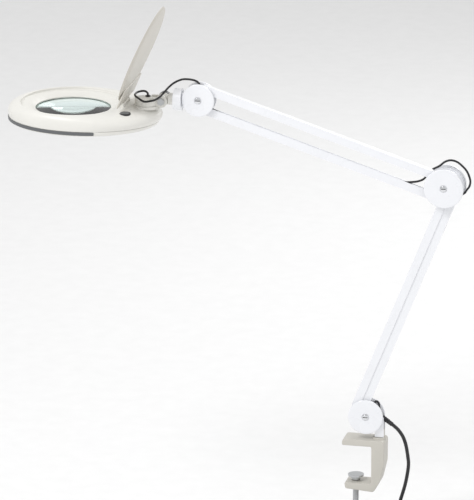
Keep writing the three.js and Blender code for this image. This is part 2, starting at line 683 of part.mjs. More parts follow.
function buildHeadJoint(head) {
  const centre = [HEAD_JOINT[0] - HEAD_OFFSET[0], HEAD_JOINT[1] - HEAD_OFFSET[2]];
  const pins = [1, -1].map((side) => plus(centre, [UPPER_PINS_AT_HEAD, side * UPPER_PIN_HALF_SPACING]));
  const inner = PLATE_INNER_FACE;
  const outer = inner + PLATE_THICKNESS;
  const coverFace = outer + GAP;
  const plate = HEAD_COVER_RADIUS - COVER_OVERHANG + 0.2;
  piece(head, 'head_plate_front', disc(plate, centre, -outer, -inner), 'white');
  piece(head, 'head_plate_rear', disc(plate, centre, inner, outer), 'white');
  piece(head, 'head_cap_front', cover(HEAD_COVER_RADIUS, centre, -coverFace, -1), 'white');
  piece(head, 'head_cap_rear', cover(HEAD_COVER_RADIUS, centre, coverFace, 1), 'white');
  piece(head, 'head_cap_screw', coverScrew(centre, -coverFace - COVER_DEPTH + 0.6), 'chrome');
  piece(head, 'head_pin_outer', pivotPin(pins[0]), 'steel');
  piece(head, 'head_pin_inner', pivotPin(pins[1]), 'steel');
  piece(head, 'head_flange', headFlange(), 'white');
  piece(head, 'roll_barrel', rollBarrel(), 'head_white');
  piece(head, 'tilt_hub', tiltHub(), 'head_white');
  piece(head, 'tilt_bolt', tiltBolt(), 'steel');
  piece(head, 'tilt_knob', tiltKnob(), 'grey');
  piece(head, 'cable_gland', cableGland(), 'black');
}

function buildHead(head) {
  piece(head, 'top_housing', topHousing(), 'head_white');
  piece(head, 'bottom_housing', bottomHousing(), 'head_white');
  piece(head, 'lens', lens(), 'glass');
  piece(head, 'lens_ring', lensRing(), 'head_white');
  piece(head, 'reflector', reflector(), 'diffuser');
  piece(head, 'led_board', ledBoard(), 'board');
  piece(head, 'diffuser', diffuser(), 'diffuser');
  piece(head, 'driver_board', block(-368, -352, -15, 15, 523, 529), 'board');
  piece(head, 'cover_hinge_pin', hingePin(), 'steel');
  piece(head, 'power_button', powerButton(), 'grey');
  const lid = piece(head, 'lens_cover', lensCover(), 'cover_beige');
  lid.position.set(COVER_AXIS[0], 0, COVER_AXIS[1]);
  lid.rotation.y = THREE.MathUtils.degToRad(COVER_OPEN_ANGLE);
}

function buildCords() {
  piece(lamp, 'cable_head', tube(headCable, CABLE_RADIUS), 'black');
  piece(lamp, 'cable_upper', tube(upperCable, CABLE_RADIUS), 'black');
  piece(lamp, 'cable_lower', tube(lowerCable, CABLE_RADIUS), 'black');
  piece(lamp, 'mains_lead', tube(leadRoute, LEAD_RADIUS), 'black');
  piece(lamp, 'mains_coil', mainsCoil(), 'black');
  const plug = piece(lamp, 'mains_plug', mainsPlug(), 'black');
  const tailTip = COIL_CENTRE[0] - COIL_CLEAR - 1.5;
  plug.position.set(tailTip - 16, COIL_CENTRE[1] - COIL_OUTER, FLOOR_Z + 7.5);
  plug.rotation.set(Math.PI / 2, Math.PI / 2, 0);
}

buildClamp();
buildBaseJoint();
buildLowerArm();
buildElbow();
buildUpperArm();
const headGroup = new THREE.Group();
headGroup.position.set(...HEAD_OFFSET);
lamp.add(headGroup);
buildHeadJoint(headGroup);
buildHead(headGroup);
buildCords();

export default lamp;
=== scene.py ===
"""A clamp-on magnifying lamp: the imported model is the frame, and this script gives it its looks."""

import json
import math

import bmesh
import bpy
from mathutils import Matrix, Vector


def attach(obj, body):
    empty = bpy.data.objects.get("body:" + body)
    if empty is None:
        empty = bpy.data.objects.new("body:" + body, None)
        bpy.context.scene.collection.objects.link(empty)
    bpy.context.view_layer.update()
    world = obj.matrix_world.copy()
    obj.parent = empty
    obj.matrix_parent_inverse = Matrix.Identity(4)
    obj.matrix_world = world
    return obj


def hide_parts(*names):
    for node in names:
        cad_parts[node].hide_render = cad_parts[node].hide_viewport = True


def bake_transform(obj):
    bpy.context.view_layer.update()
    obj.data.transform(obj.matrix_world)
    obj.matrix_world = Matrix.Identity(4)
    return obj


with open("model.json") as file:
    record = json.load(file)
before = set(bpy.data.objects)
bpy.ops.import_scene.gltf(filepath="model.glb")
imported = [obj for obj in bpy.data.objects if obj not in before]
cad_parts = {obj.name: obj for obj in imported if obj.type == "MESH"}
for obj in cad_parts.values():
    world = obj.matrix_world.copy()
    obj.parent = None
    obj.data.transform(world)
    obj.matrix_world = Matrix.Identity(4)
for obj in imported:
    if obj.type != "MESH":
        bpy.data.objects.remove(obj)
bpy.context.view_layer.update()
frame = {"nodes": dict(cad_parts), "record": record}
MM = 0.001

# ------------------------------------------------------------ places, in millimetres as the design has them

UPPER_Y = -10.8
HEAD_OFFSET = Vector((2.3, UPPER_Y, 3.2))
BASE = (16.9, 47.9)
ELBOW = (142.4, 442.3)
HEAD_JOINT = (-256.6, 563.4)
UPPER_HEAD_PIN = (-247.2, 545.9)
UPPER_TURN = math.atan2(121.1, 378.1)
LOWER_BASE_PIN = (5.9, 45.9)
LOWER_TURN = -math.atan2(378.4, 150.2)
LENS_X = -466.0
OVAL_X = -446.0
HUB_X = -345.0
COVER_AXIS = Vector((-380.5, 0, 548.5))
COVER_OPEN = math.radians(113)
HINGE_EDGE_HALF = 57.0
FLOOR_Z = -147.0
CABLE_RADIUS = 1.7
LEAD_RADIUS = 2.9
SWIVEL_X = 38.0
ACROSS = Matrix.Rotation(math.pi / 2, 4, "X")
BACKWARDS = Matrix.Rotation(-math.pi / 2, 4, "X")


def at(x, y, z):
    return Matrix.Translation((x, y, z))


IN_HEAD = at(*HEAD_OFFSET)

# ------------------------------------------------------------ camera, floor and light

CAMERA_AZIMUTH = math.radians(12.5)
CAMERA_ELEVATION = math.radians(17)
CAMERA_LENS = 400
VIEW_SIZE = 0.8
VIEW_CENTRE = (-0.1926, 0.3114, 0.09)


def make_camera():
    sin_a, cos_a = math.sin(CAMERA_AZIMUTH), math.cos(CAMERA_AZIMUTH)
    sin_e, cos_e = math.sin(CAMERA_ELEVATION), math.cos(CAMERA_ELEVATION)
    right = Vector((cos_a, sin_a, 0))
    up = Vector((-sin_a * sin_e, cos_a * sin_e, cos_e))
    back = Vector((sin_a * cos_e, -cos_a * cos_e, sin_e))
    data = bpy.data.cameras.new("camera")
    data.lens = CAMERA_LENS
    camera = bpy.data.objects.new("camera", data)
    bpy.context.scene.collection.objects.link(camera)
    distance = VIEW_SIZE * data.lens / data.sensor_width
    across, height, depth = VIEW_CENTRE
    camera.location = right * across + up * height + back * (depth + distance)
    camera.rotation_mode = "QUATERNION"
    camera.rotation_quaternion = (-back).to_track_quat("-Z", "Y")
    data.clip_end = 100
    bpy.context.scene.camera = camera


LIGHT_AIM = (-0.15, 0, 0.35)
LIGHTS = [
    ("key_light", (-1.6, -1.6, 2.6), 1.4, 38),
    ("fill_light", (2.2, -1.8, 1.4), 2.0, 12),
    ("rim_light", (0.6, 2.2, 1.8), 1.6, 20),
]
WORLD_STRENGTH = 0.75
FLOOR_HALF_SIZE = 30.0
FLOOR_DROP = 0.6


def area_light(name, place, size, power):
    data = bpy.data.lights.new(name, "AREA")
    data.shape = "DISK"
    data.size = size
    data.energy = power
    lamp = bpy.data.objects.new(name, data)
    bpy.context.scene.collection.objects.link(lamp)
    lamp.location = place
    lamp.rotation_mode = "QUATERNION"
    lamp.rotation_quaternion = (Vector(LIGHT_AIM) - Vector(place)).to_track_quat("-Z", "Y")


def make_stage():
    world = bpy.data.worlds.new("studio")
    bpy.context.scene.world = world
    world.use_nodes = True
    background = world.node_tree.nodes["Background"]
    background.inputs["Color"].default_value = (1, 1, 1, 1)
    background.inputs["Strength"].default_value = WORLD_STRENGTH
    bpy.context.scene.view_settings.view_transform = "Standard"
    for light in LIGHTS:
        area_light(*light)
    size, z = FLOOR_HALF_SIZE, (FLOOR_Z - FLOOR_DROP) * MM
    corners = [(-size, -size, z), (size, -size, z), (size, size, z), (-size, size, z)]
    mesh = bpy.data.meshes.new("floor")
    mesh.from_pydata(corners, [], [(0, 1, 2, 3)])
    mesh.materials.append(surface("floor_paper", (0.86, 0.86, 0.86), 0.9))
    floor = bpy.data.objects.new("floor", mesh)
    bpy.context.scene.collection.objects.link(floor)


# ------------------------------------------------------------ materials


def surface(name, colour, roughness, metallic=0.0, grain=900.0, bump=0.02, mottle=0.03, coat=0.0):
    """A procedural finish: fine surface grain, faint colour mottling and uneven gloss."""
    material = bpy.data.materials.new(name)
    material.use_nodes = True
    nodes, links = material.node_tree.nodes, material.node_tree.links
    shader = nodes["Principled BSDF"]
    shader.inputs["Metallic"].default_value = metallic
    shader.inputs["Coat Weight"].default_value = coat
    place = nodes.new("ShaderNodeTexCoord")
    fine = nodes.new("ShaderNodeTexNoise")
    fine.inputs["Scale"].default_value = grain
    fine.inputs["Detail"].default_value = 4
    broad = nodes.new("ShaderNodeTexNoise")
    broad.inputs["Scale"].default_value = 35
    broad.inputs["Detail"].default_value = 3
    links.new(place.outputs["Object"], fine.inputs["Vector"])
    links.new(place.outputs["Object"], broad.inputs["Vector"])
    tint = nodes.new("ShaderNodeMix")
    tint.data_type = "RGBA"
    tint.inputs["A"].default_value = (*[c * (1 - mottle) for c in colour], 1)
    tint.inputs["B"].default_value = (*[min(1.0, c * (1 + mottle)) for c in colour], 1)
    links.new(broad.outputs["Fac"], tint.inputs["Factor"])
    links.new(tint.outputs["Result"], shader.inputs["Base Color"])
    gloss = nodes.new("ShaderNodeMapRange")
    gloss.inputs["To Min"].default_value = roughness * 0.85
    gloss.inputs["To Max"].default_value = min(1.0, roughness * 1.15)
    links.new(broad.outputs["Fac"], gloss.inputs["Value"])
    links.new(gloss.outputs["Result"], shader.inputs["Roughness"])
    relief = nodes.new("ShaderNodeBump")
    relief.inputs["Strength"].default_value = bump
    relief.inputs["Distance"].default_value = 0.0004
    links.new(fine.outputs["Fac"], relief.inputs["Height"])
    links.new(relief.outputs["Normal"], shader.inputs["Normal"])
    return material


def clear_glass(name, colour):
    material = bpy.data.materials.new(name)
    material.use_nodes = True
    nodes, links = material.node_tree.nodes, material.node_tree.links
    shader = nodes["Principled BSDF"]
    shader.inputs["Transmission Weight"].default_value = 1.0
    shader.inputs["IOR"].default_value = 1.5
    shader.inputs["Roughness"].default_value = 0.0
    noise = nodes.new("ShaderNodeTexNoise")
    noise.inputs["Scale"].default_value = 14
    tint = nodes.new("ShaderNodeMix")
    tint.data_type = "RGBA"
    tint.inputs["A"].default_value = (*colour, 1)
    tint.inputs["B"].default_value = (*[min(1.0, c * 1.03) for c in colour], 1)
    links.new(noise.outputs["Fac"], tint.inputs["Factor"])
    links.new(tint.outputs["Result"], shader.inputs["Base Color"])
    return material


LOOKS = {
    "white_paint": surface("white_paint", (0.84, 0.85, 0.88), 0.28, bump=0.03, coat=0.3),
    "head_plastic": surface("head_plastic", (0.76, 0.75, 0.71), 0.38, bump=0.05, grain=1400),
    "cover_beige": surface("cover_beige", (0.60, 0.575, 0.52), 0.42, bump=0.05, grain=1400),
    "cast_cream": surface("cast_cream", (0.56, 0.54, 0.49), 0.45, bump=0.22, grain=420, mottle=0.05),
    "chrome": surface("chrome", (0.75, 0.76, 0.78), 0.12, 1.0, bump=0.01),
    "steel": surface("steel", (0.52, 0.53, 0.54), 0.32, 1.0, bump=0.04, mottle=0.08),
    "grey_plastic": surface("grey_plastic", (0.12, 0.125, 0.13), 0.45, bump=0.1, grain=1400),
    "black_plastic": surface("black_plastic", (0.012, 0.012, 0.013), 0.4, bump=0.12, grain=1400),
    "black_cord": surface("black_cord", (0.012, 0.012, 0.014), 0.38, bump=0.08, grain=1600),
    "rubber": surface("rubber", (0.03, 0.03, 0.032), 0.75, bump=0.2, grain=1100),
    "lens_glass": clear_glass("lens_glass", (0.80, 0.93, 0.91)),
    "reflector_white": surface("reflector_white", (0.86, 0.86, 0.84), 0.2, bump=0.01),
    "diffuser_plastic": surface("diffuser_plastic", (0.88, 0.88, 0.84), 0.55, bump=0.05),
    "circuit_board": surface("circuit_board", (0.03, 0.16, 0.07), 0.45, bump=0.1, mottle=0.2),
}

# ------------------------------------------------------------ mesh makers; each returns (vertices, faces)


def moved(form, matrix):
    vertices, faces = form
    return [matrix @ Vector(v) for v in vertices], faces


def joined(*forms):
    vertices, faces = [], []
    for more_vertices, more_faces in forms:
        start = len(vertices)
        vertices += [Vector(v) for v in more_vertices]
        faces += [[i + start for i in face] for face in more_faces]
    return vertices, faces


def softened(points, radius, steps=4, closed=False):
    """The line through points with each corner rounded off."""
    result = []
    count = len(points)
    for i, p in enumerate(points):
        p = Vector(p)
        if not closed and i in (0, count - 1):
            result.append(p)
            continue
        before, after = Vector(points[i - 1]), Vector(points[(i + 1) % count])
        reach = min(radius, (before - p).length * 0.45, (after - p).length * 0.45)
        a = p + (before - p).normalized() * reach
        b = p + (after - p).normalized() * reach
        for k in range(steps + 1):
            t = k / steps
            result.append(a * (1 - t) ** 2 + p * 2 * t * (1 - t) + b * t * t)
    return result


def turned(profile, segments=96, closed=False):
    """A line of (radius, height) points turned about +Z. Points on the axis are shared."""
    vertices, rings = [], []
    for r, z in profile:
        if r < 1e-6:
            rings.append([len(vertices)] * segments)
            vertices.append(Vector((0, 0, z)))
            continue
        rings.append(list(range(len(vertices), len(vertices) + segments)))
        for k in range(segments):
            angle = 2 * math.pi * k / segments
            vertices.append(Vector((r * math.cos(angle), r * math.sin(angle), z)))
    faces = []
    pairs = list(zip(rings, rings[1:])) + ([(rings[-1], rings[0])] if closed else [])
    for low, high in pairs:
        for k in range(segments):
            n = (k + 1) % segments
            corners = [low[k], low[n], high[n], high[k]]
            face = [c for i, c in enumerate(corners) if c != corners[i - 1]]
            if len(face) > 2:
                faces.append(face)
    return vertices, faces


def prism(outline, y0, y1):
    """An outline of (x, z) points given depth along y."""
    count = len(outline)
    vertices = [Vector((x, y, z)) for y in (y0, y1) for x, z in outline]
    faces = [list(range(count)), list(range(2 * count - 1, count - 1, -1))]
    faces += [[k, (k + 1) % count, (k + 1) % count + count, k + count] for k in range(count)]
    return vertices, faces


def lobed(radius, depth, lobes, count):
    """A closed outline whose radius rises and falls once for each lobe."""
    outline = []
    for k in range(count):
        angle = 2 * math.pi * k / count
        reach = radius + depth * math.cos(lobes * angle)
        outline.append((reach * math.cos(angle), reach * math.sin(angle)))
    return outline


def box_form(x0, x1, y0, y1, z0, z1):
    return prism([(x0, z0), (x1, z0), (x1, z1), (x0, z1)], y0, y1)


def tube_form(path, radius, sides=14):
    """A round tube with closed ends along a path of points."""
    points = [Vector(p) for p in path]
    vertices, faces = [], []
    tangent = (points[1] - points[0]).normalized()
    normal = tangent.orthogonal().normalized()
    for i, p in enumerate(points):
        ahead = points[min(i + 1, len(points) - 1)] - points[max(i - 1, 0)]
        ahead.normalize()
        normal = (normal - ahead * normal.dot(ahead)).normalized()
        side = ahead.cross(normal)
        for k in range(sides):
            angle = 2 * math.pi * k / sides
            vertices.append(p + (normal * math.cos(angle) + side * math.sin(angle)) * radius)
    for i in range(len(points) - 1):
        for k in range(sides):
            n = (k + 1) % sides
            low, high = i * sides, (i + 1) * sides
            faces.append([low + k, low + n, high + n, high + k])
    faces.append(list(range(sides))[::-1])
    faces.append(list(range(len(vertices) - sides, len(vertices))))
    return vertices, faces


def smooth_path(points, spacing):
    """Points about spacing apart on the smooth line through the given ones."""
    given = [Vector(p) for p in points]
    given = [given[0] * 2 - given[1], *given, given[-1] * 2 - given[-2]]
    result = [given[1]]
    for p0, p1, p2, p3 in zip(given, given[1:], given[2:], given[3:]):
        knots = [0.0]
        for a, b in ((p0, p1), (p1, p2), (p2, p3)):
            knots.append(knots[-1] + max((b - a).length, 1e-9) ** 0.5)
        t0, t1, t2, t3 = knots
        steps = max(1, round((p2 - p1).length / spacing))
        for k in range(1, steps + 1):
            t = t1 + (t2 - t1) * k / steps
            a1 = p0 * ((t1 - t) / (t1 - t0)) + p1 * ((t - t0) / (t1 - t0))
            a2 = p1 * ((t2 - t) / (t2 - t1)) + p2 * ((t - t1) / (t2 - t1))
            a3 = p2 * ((t3 - t) / (t3 - t2)) + p3 * ((t - t2) / (t3 - t2))
            b1 = a1 * ((t2 - t) / (t2 - t0)) + a2 * ((t - t0) / (t2 - t0))
            b2 = a2 * ((t3 - t) / (t3 - t1)) + a3 * ((t - t1) / (t3 - t1))
            result.append(b1 * ((t2 - t) / (t2 - t1)) + b2 * ((t - t1) / (t2 - t1)))
    return result


def helix(radius, length, turns, per_turn=16):
    """A coil's line along +X."""
    count = int(turns * per_turn)
    angle = 2 * math.pi / per_turn
    return [
        Vector((length * k / count, radius * math.cos(angle * k), radius * math.sin(angle * k)))
        for k in range(count + 1)
    ]


# ------------------------------------------------------------ pieces


def piece(name, form, look, body=None, stands_for=(), bevel=0.0, sharp=38, segments=3):
    """A finished object from a form in millimetres; with no body it is left unattached."""
    vertices, faces = form
    mesh = bpy.data.meshes.new(name)
    mesh.from_pydata([Vector(v) * MM for v in vertices], [], faces)
    builder = bmesh.new()
    builder.from_mesh(mesh)
    bmesh.ops.remove_doubles(builder, verts=builder.verts, dist=1e-7)
    bmesh.ops.recalc_face_normals(builder, faces=builder.faces)
    if bevel:
        limit = math.radians(30)
        edges = [e for e in builder.edges if len(e.link_faces) == 2 and e.calc_face_angle() > limit]
        bmesh.ops.bevel(
            builder, geom=edges, offset=bevel * MM, offset_type="OFFSET", segments=segments,
            profile=0.5, affect="EDGES", clamp_overlap=True,
        )
    builder.to_mesh(mesh)
    builder.free()
    mesh.materials.append(LOOKS[look])
    for polygon in mesh.polygons:
        polygon.use_smooth = True
    mesh.set_sharp_from_angle(angle=math.radians(sharp))
    obj = bpy.data.objects.new(name, mesh)
    bpy.context.scene.collection.objects.link(obj)
    if body:
        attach(obj, body)
    if stands_for:
        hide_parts(*stands_for)
    return obj


def finish_cad_nodes():
    """The CAD nodes that stay get their finish, smooth shading and slightly rounded edges."""
    slots = {s["node"]: s["material_slot"] for s in frame["record"]["subparts"]}
    for name, node in frame["nodes"].items():
        look = LOOKS[slots[name]]
        node.data.materials.clear()
        node.data.materials.append(look)
        for polygon in node.data.polygons:
            polygon.use_smooth = True
        node.data.set_sharp_from_angle(angle=math.radians(32))
        if not node.hide_render:
            edge = node.modifiers.new("edge", "BEVEL")
            edge.width = 0.35 * MM
            edge.segments = 2
            edge.limit_method = "ANGLE"
            edge.angle_limit = math.radians(35)


# ------------------------------------------------------------ cables

HEAD_LOOP = [
    (-345, 9.7, 559.8), (-345.8, 10.2, 562.4), (-350, 12.8, 564.4), (-356.8, 14.8, 563.8),
    (-362.6, 10, 562.8), (-364, 1, 562), (-361.5, -9, 562), (-354, -18.5, 561),
    (-343.1, -25.7, 558), (-332.6, -28.3, 560), (-323.7, -28, 563), (-317.3, -21.4, 567),
    (-312.1, -13, 573), (-307.7, -1.7, 578), (-301.4, 5.3, 583), (-293.4, 5.3, 587.5),
    (-286.5, 5, 590), (-278, 3.3, 591), (-269, 2.3, 590.5), (-262, 2, 588), (-258.5, 1.2, 584),
    (-258.2, 0.6, 578.5), (-256.4, 0, 571.5), (-252.8, 0, 563.5), (-248, 0, 556), (-243, 0, 550),
    (-236.5, 0, 544.7), (-229, 0, 540.3),
]
HEAD_LOOP_SPLITS = (12, 15)
ELBOW_EXIT = [
    (62, -10.8, 444.6), (80, -10.8, 446.5), (88, -10.2, 447.3), (97, -8.5, 448.2),
    (105, -5.5, 450.5), (109, -4.2, 453.5), (112, -3.9, 459.5), (116, -3.9, 465), (122.8, -3.9, 469.5),
]
ELBOW_LOOP = [
    (132.5, -3.5, 474.9), (140.9, -3, 482), (147.3, -2.8, 484.6), (153.7, -2.5, 484.9),
    (161.3, -2, 482.3), (169.3, -1.5, 475.9), (175.8, -1, 468.5), (179.7, -0.5, 460.2),
    (181.8, 0, 451), (180.1, 0, 442.4), (176.3, 0, 437.2), (172.7, 0, 431.4), (167, 0, 428.8),
    (161, 0, 429.3), (155, 0, 430.2), (150.6, 0, 426.8), (148.4, 0, 419.8), (146.4, 0, 412),
]
BASE_LOOP = [
    (15.5, 0, 70), (17.5, 0, 63.5), (21, 0, 60.5), (25, 0, 62), (28.5, 0, 68), (32, 0, 73.2),
    (35.5, 0, 72), (37.5, 0, 66), (37, 0, 59), (37, 0, 53.3),
]
CHANNEL_HEIGHT = -3.4
CABLE_STEP = 2.2


def on_bar(pin, turn, y, along):
    """The place of the cable inside a bar's channel, a distance along it."""
    x = pin[0] + along * math.cos(turn) + CHANNEL_HEIGHT * math.sin(turn)
    z = pin[1] - along * math.sin(turn) + CHANNEL_HEIGHT * math.cos(turn)
    return Vector((x, y, z))


def in_upper(along):
    return on_bar(UPPER_HEAD_PIN, UPPER_TURN, UPPER_Y, along)


def in_lower(along):
    return on_bar(LOWER_BASE_PIN, LOWER_TURN, 0, along)


def cable(name, points, stands_for=()):
    """A stretch of the arm cable between two bodies, left unattached to either."""
    obj = piece(name, tube_form(points, CABLE_RADIUS), "black_cord", stands_for=stands_for, sharp=60)
    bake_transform(obj)
    return obj


def make_cables():
    head = [Vector(p) + HEAD_OFFSET for p in HEAD_LOOP] + [in_upper(a) for a in (36, 100, 180)]
    first, second = HEAD_LOOP_SPLITS
    line = smooth_path(head, CABLE_STEP)

    def nearest(point):
        return min(range(len(line)), key=lambda i: (line[i] - point).length)

    a, b = nearest(head[first]), nearest(head[second])
    cable("cable_at_tilt", line[: a + 1],
          ["cable_head"])
    cable("cable_at_roll", line[a : b + 1])
    cable("cable_at_head_joint", line[b:])
    upper = [in_upper(a) for a in (180, 250, 315)] + ELBOW_EXIT
    elbow = smooth_path(upper + ELBOW_LOOP + [in_lower(a) for a in (375, 300, 200)], CABLE_STEP)
    middle = min(range(len(elbow)), key=lambda i: (elbow[i] - Vector(ELBOW_EXIT[-1])).length)
    cable("cable_over_elbow", elbow[: middle + 1],
          ["cable_upper"])
    cable("cable_down_elbow", elbow[middle:],
          ["cable_lower"])
    base = smooth_path([in_lower(a) for a in (200, 100, 40)] + BASE_LOOP, CABLE_STEP)
    cable("cable_at_base", base)


# ------------------------------------------------------------ mains lead

RELIEF_START = Vector((SWIVEL_X, 0, 50.5))
RELIEF_TURN = math.radians(125.5)
RELIEF_LENGTH = 26.0
LEAD_DROP = [
    (61.5, 0, 33.7), (69, 0, 27), (76.5, 0, 16.5), (81.5, 0, 3), (85.2, 0, -17.6), (86.4, 0, -29.9),
    (84.4, 0, -48.5), (81, 0, -66), (77, 0, -81), (73.7, 0, -92.5), (72.3, 0, -103),
    (75.7, 0, -113.7), (83.3, 0, -122), (92.2, 0, -126.1),
]
COIL_LAYERS = 4
COIL_INNER = 27.0
COIL_OUTER = 39.5
COIL_CENTRE = Vector((122, -COIL_OUTER, 0))
TURNS_PER_LAYER = 1.75
LAYER_CHANGE = 1 / 6
PLUG_AXIS_Z = FLOOR_Z + 7.5
GAP = 0.3
COIL_CLEAR = math.sqrt((COIL_OUTER + 2 * LEAD_RADIUS + GAP) ** 2 - COIL_OUTER ** 2) + 1
PLUG_TAIL_X = COIL_CENTRE.x - COIL_CLEAR - 1.5


def coil_path():
    """Layers of turns, wound inwards and outwards in turn, from the top layer down to the floor."""
    points = []
    angle = math.pi / 2
    steps = 40
    top = FLOOR_Z + LEAD_RADIUS + (COIL_LAYERS - 1) * 2 * LEAD_RADIUS

    def add(radius, height, theta):
        points.append(COIL_CENTRE + Vector((radius * math.cos(theta), radius * math.sin(theta), height)))

    for layer in range(COIL_LAYERS):
        z = top - layer * 2 * LEAD_RADIUS
        ends = (COIL_OUTER, COIL_INNER) if layer % 2 == 0 else (COIL_INNER, COIL_OUTER)
        count = int(TURNS_PER_LAYER * steps)
        for k in range(count):
            t = k / count
            add(ends[0] + (ends[1] - ends[0]) * t, z, angle - 2 * math.pi * TURNS_PER_LAYER * t)
        angle -= 2 * math.pi * TURNS_PER_LAYER
        if layer == COIL_LAYERS - 1:
            add(ends[1], z, angle)
            break
        change = round(LAYER_CHANGE * steps)
        for k in range(change):
            t = k / change
            drop = 2 * LEAD_RADIUS * t * t * (3 - 2 * t)
            add(ends[1], z - drop, angle - 2 * math.pi * LAYER_CHANGE * t)
        angle -= 2 * math.pi * LAYER_CHANGE
    return points


def plug_form():
    grip = softened([
        (-15, -46), (15, -46), (17, -40), (17, -22), (8, -6), (5, 0), (-5, 0), (-8, -6),
        (-17, -22), (-17, -40),
    ], 4, closed=True)
    return prism(grip, -7.5, 7.5)


def make_mains_lead():
    direction = Vector((math.sin(RELIEF_TURN), 0, math.cos(RELIEF_TURN)))
    leave = RELIEF_START + direction * RELIEF_LENGTH
    relief = [(3.1, 0), (4.4, 0), (4.4, 3)]
    for k in range(6):
        z = 5 + 3.4 * k
        crest, groove = 4.3 - 0.1 * k, 3.5 - 0.05 * k
        relief += [(crest, z), (groove, z + 0.5), (groove, z + 1.3), (4.25 - 0.1 * k, z + 1.8)]
    relief += [(3.7, RELIEF_LENGTH - 1), (3.4, RELIEF_LENGTH), (3.1, RELIEF_LENGTH)]
    lean = Matrix.Rotation(RELIEF_TURN, 4, "Y")
    piece("strain_relief", moved(turned(relief, 40, closed=True), at(*RELIEF_START) @ lean),
          "black_cord", "base_bracket", ["lead_relief"], sharp=50)
    rise = (COIL_CENTRE.x - 13, -2 * COIL_OUTER, FLOOR_Z + 4.4)
    tail = (PLUG_TAIL_X, -2 * COIL_OUTER, PLUG_AXIS_Z)
    line = smooth_path([leave, *LEAD_DROP, *coil_path(), rise, tail], 4.0)
    lead = piece("mains_lead_run", tube_form(line, LEAD_RADIUS, 12), "black_cord",
                 stands_for=["mains_lead", "mains_coil"], sharp=60)
    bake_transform(lead)
    lie = at(PLUG_TAIL_X - 16, -2 * COIL_OUTER, PLUG_AXIS_Z) @ Matrix.Rotation(math.pi / 2, 4, "X")
    lie = lie @ Matrix.Rotation(math.pi / 2, 4, "Y")
    body = piece("plug_body", moved(plug_form(), lie), "black_plastic", "clamp", ["mains_plug"], bevel=2.2)
    ribs = [(2.95, 0)]
    for k in range(4):
        z = 1 + 3.6 * k
        ribs += [(4.0 - 0.1 * k, z), (4.0 - 0.1 * k, z + 1.8), (3.2, z + 2.2), (3.2, z + 3.2)]
    ribs += [(3.4, 16), (2.95, 16)]
    sleeve = piece("plug_sleeve", moved(turned(ribs, 32, closed=True), lie),
                   "black_plastic", "clamp", sharp=50)
    pins = []
    for x in (-9.5, 9.5):
        pin = turned(softened([(0, -65), (2.3, -65), (2.3, -45)], 1.2), 24)
        pins.append(moved(pin, lie @ at(x, 0, 0)))
    blades = piece("plug_pins", joined(*pins), "steel", "clamp")


make_camera()
make_cables()
make_mains_lead()

# ------------------------------------------------------------ joint covers

SCREW_RADIUS = 5.0
COVER_DEPTH = 4.5
PLATE_FACE = 6.9


def cover_form(radius):
    """A pressed round cover with a rolled edge and a sunk seat for its screw."""
    rim = softened([
        (0, 3.3), (SCREW_RADIUS + 0.5, 3.3), (SCREW_RADIUS + 1.2, 4.3), (radius - 2.2, COVER_DEPTH),
        (radius, COVER_DEPTH - 0.4), (radius, 0.2), (radius - 1.4, 0), (radius - 1.8, 2.6), (0, 2.4),
    ], 1.3, 6)
    return turned(rim, 128)


def screw_form():
    head = turned(softened([(0, 0), (SCREW_RADIUS, 0), (SCREW_RADIUS, 1.2), (0, 2.1)], 0.9, 5), 48)
    # The slot is a thin black bar laid over the head: painted shade standing in for the shadowed groove.
    slot_shade = box_form(-SCREW_RADIUS * 0.8, SCREW_RADIUS * 0.8, -0.55, 0.55, 1.75, 2.14)
    return head, slot_shade


def make_cover(name, radius, centre, face_y, side, body, node, screw_node=None):
    turn = ACROSS if side < 0 else BACKWARDS
    place = at(centre[0], face_y, centre[1]) @ turn
    piece(name, moved(cover_form(radius), place), "white_paint", body, [node])
    head, slot_shade = screw_form()
    place = place @ at(0, 0, COVER_DEPTH - 0.9)
    stands_for = [screw_node] if screw_node else []
    piece(name + "_screw", moved(head, place), "chrome", body, stands_for)
    # Black bar in the screw head: painted shade for the slot's groove.
    piece(name + "_screw_slot_shade", moved(slot_shade, place), "black_plastic", body)


def make_joint_covers():
    joints = [
        ("base", 28.5, BASE, 0, 0, "base_bracket"),
        ("elbow", 31.8, ELBOW, UPPER_Y, 0, "elbow_bracket"),
        ("head", 26.5, HEAD_JOINT, UPPER_Y, UPPER_Y, "head_bracket"),
    ]
    for name, radius, centre, front_y, rear_y, body in joints:
        make_cover(f"{name}_cover_front", radius, centre, front_y - PLATE_FACE, -1, body,
                   f"{name}_cap_front", f"{name}_cap_screw")
        make_cover(f"{name}_cover_rear", radius, centre, rear_y + PLATE_FACE, 1, body, f"{name}_cap_rear")


# ------------------------------------------------------------ arms

SPRING_RADIUS = 2.5


def make_springs():
    """Balance springs inside the outer channels, hooked to a cross wire at each end."""
    coil = tube_form(helix(SPRING_RADIUS - 0.45, 240, 120, 10), 0.45, 6)
    hooks = [tube_form([(x0, 0, 0), (x1, 0, 0)], 0.5, 8) for x0, x1 in ((-14, 1), (239, 254))]
    wires = [tube_form([(x, -3.4, 0), (x, 3.4, 0)], 0.7, 8) for x in (-14, 254)]
    form = joined(coil, *hooks, *wires)
    arms = [
        ("upper", (-247.2, UPPER_Y, 580.9), UPPER_TURN), ("lower", (-0.1, 0, 65.9), LOWER_TURN),
    ]
    for name, pin, turn in arms:
        place = at(*pin) @ Matrix.Rotation(turn, 4, "Y") @ at(60, 0, SPRING_RADIUS + 0.3)
        piece(f"{name}_balance_spring", moved(form, place), "steel", f"{name}_outer", [f"{name}_spring"])


# ------------------------------------------------------------ head


def to_oval(x, y):
    """Moves a point of a round form outwards into the head's oval plan."""
    r = math.hypot(x, y)
    t = min(max((r - 84) / 28, 0), 1)
    centre = LENS_X + (OVAL_X - LENS_X) * t
    return centre + x * (1 + 0.125 * t), y * (1 - 0.125 * t)


def oval_form(profile, segments=160):
    vertices, faces = turned(profile, segments, closed=True)
    return [Vector((*to_oval(v.x, v.y), v.z)) for v in vertices], faces


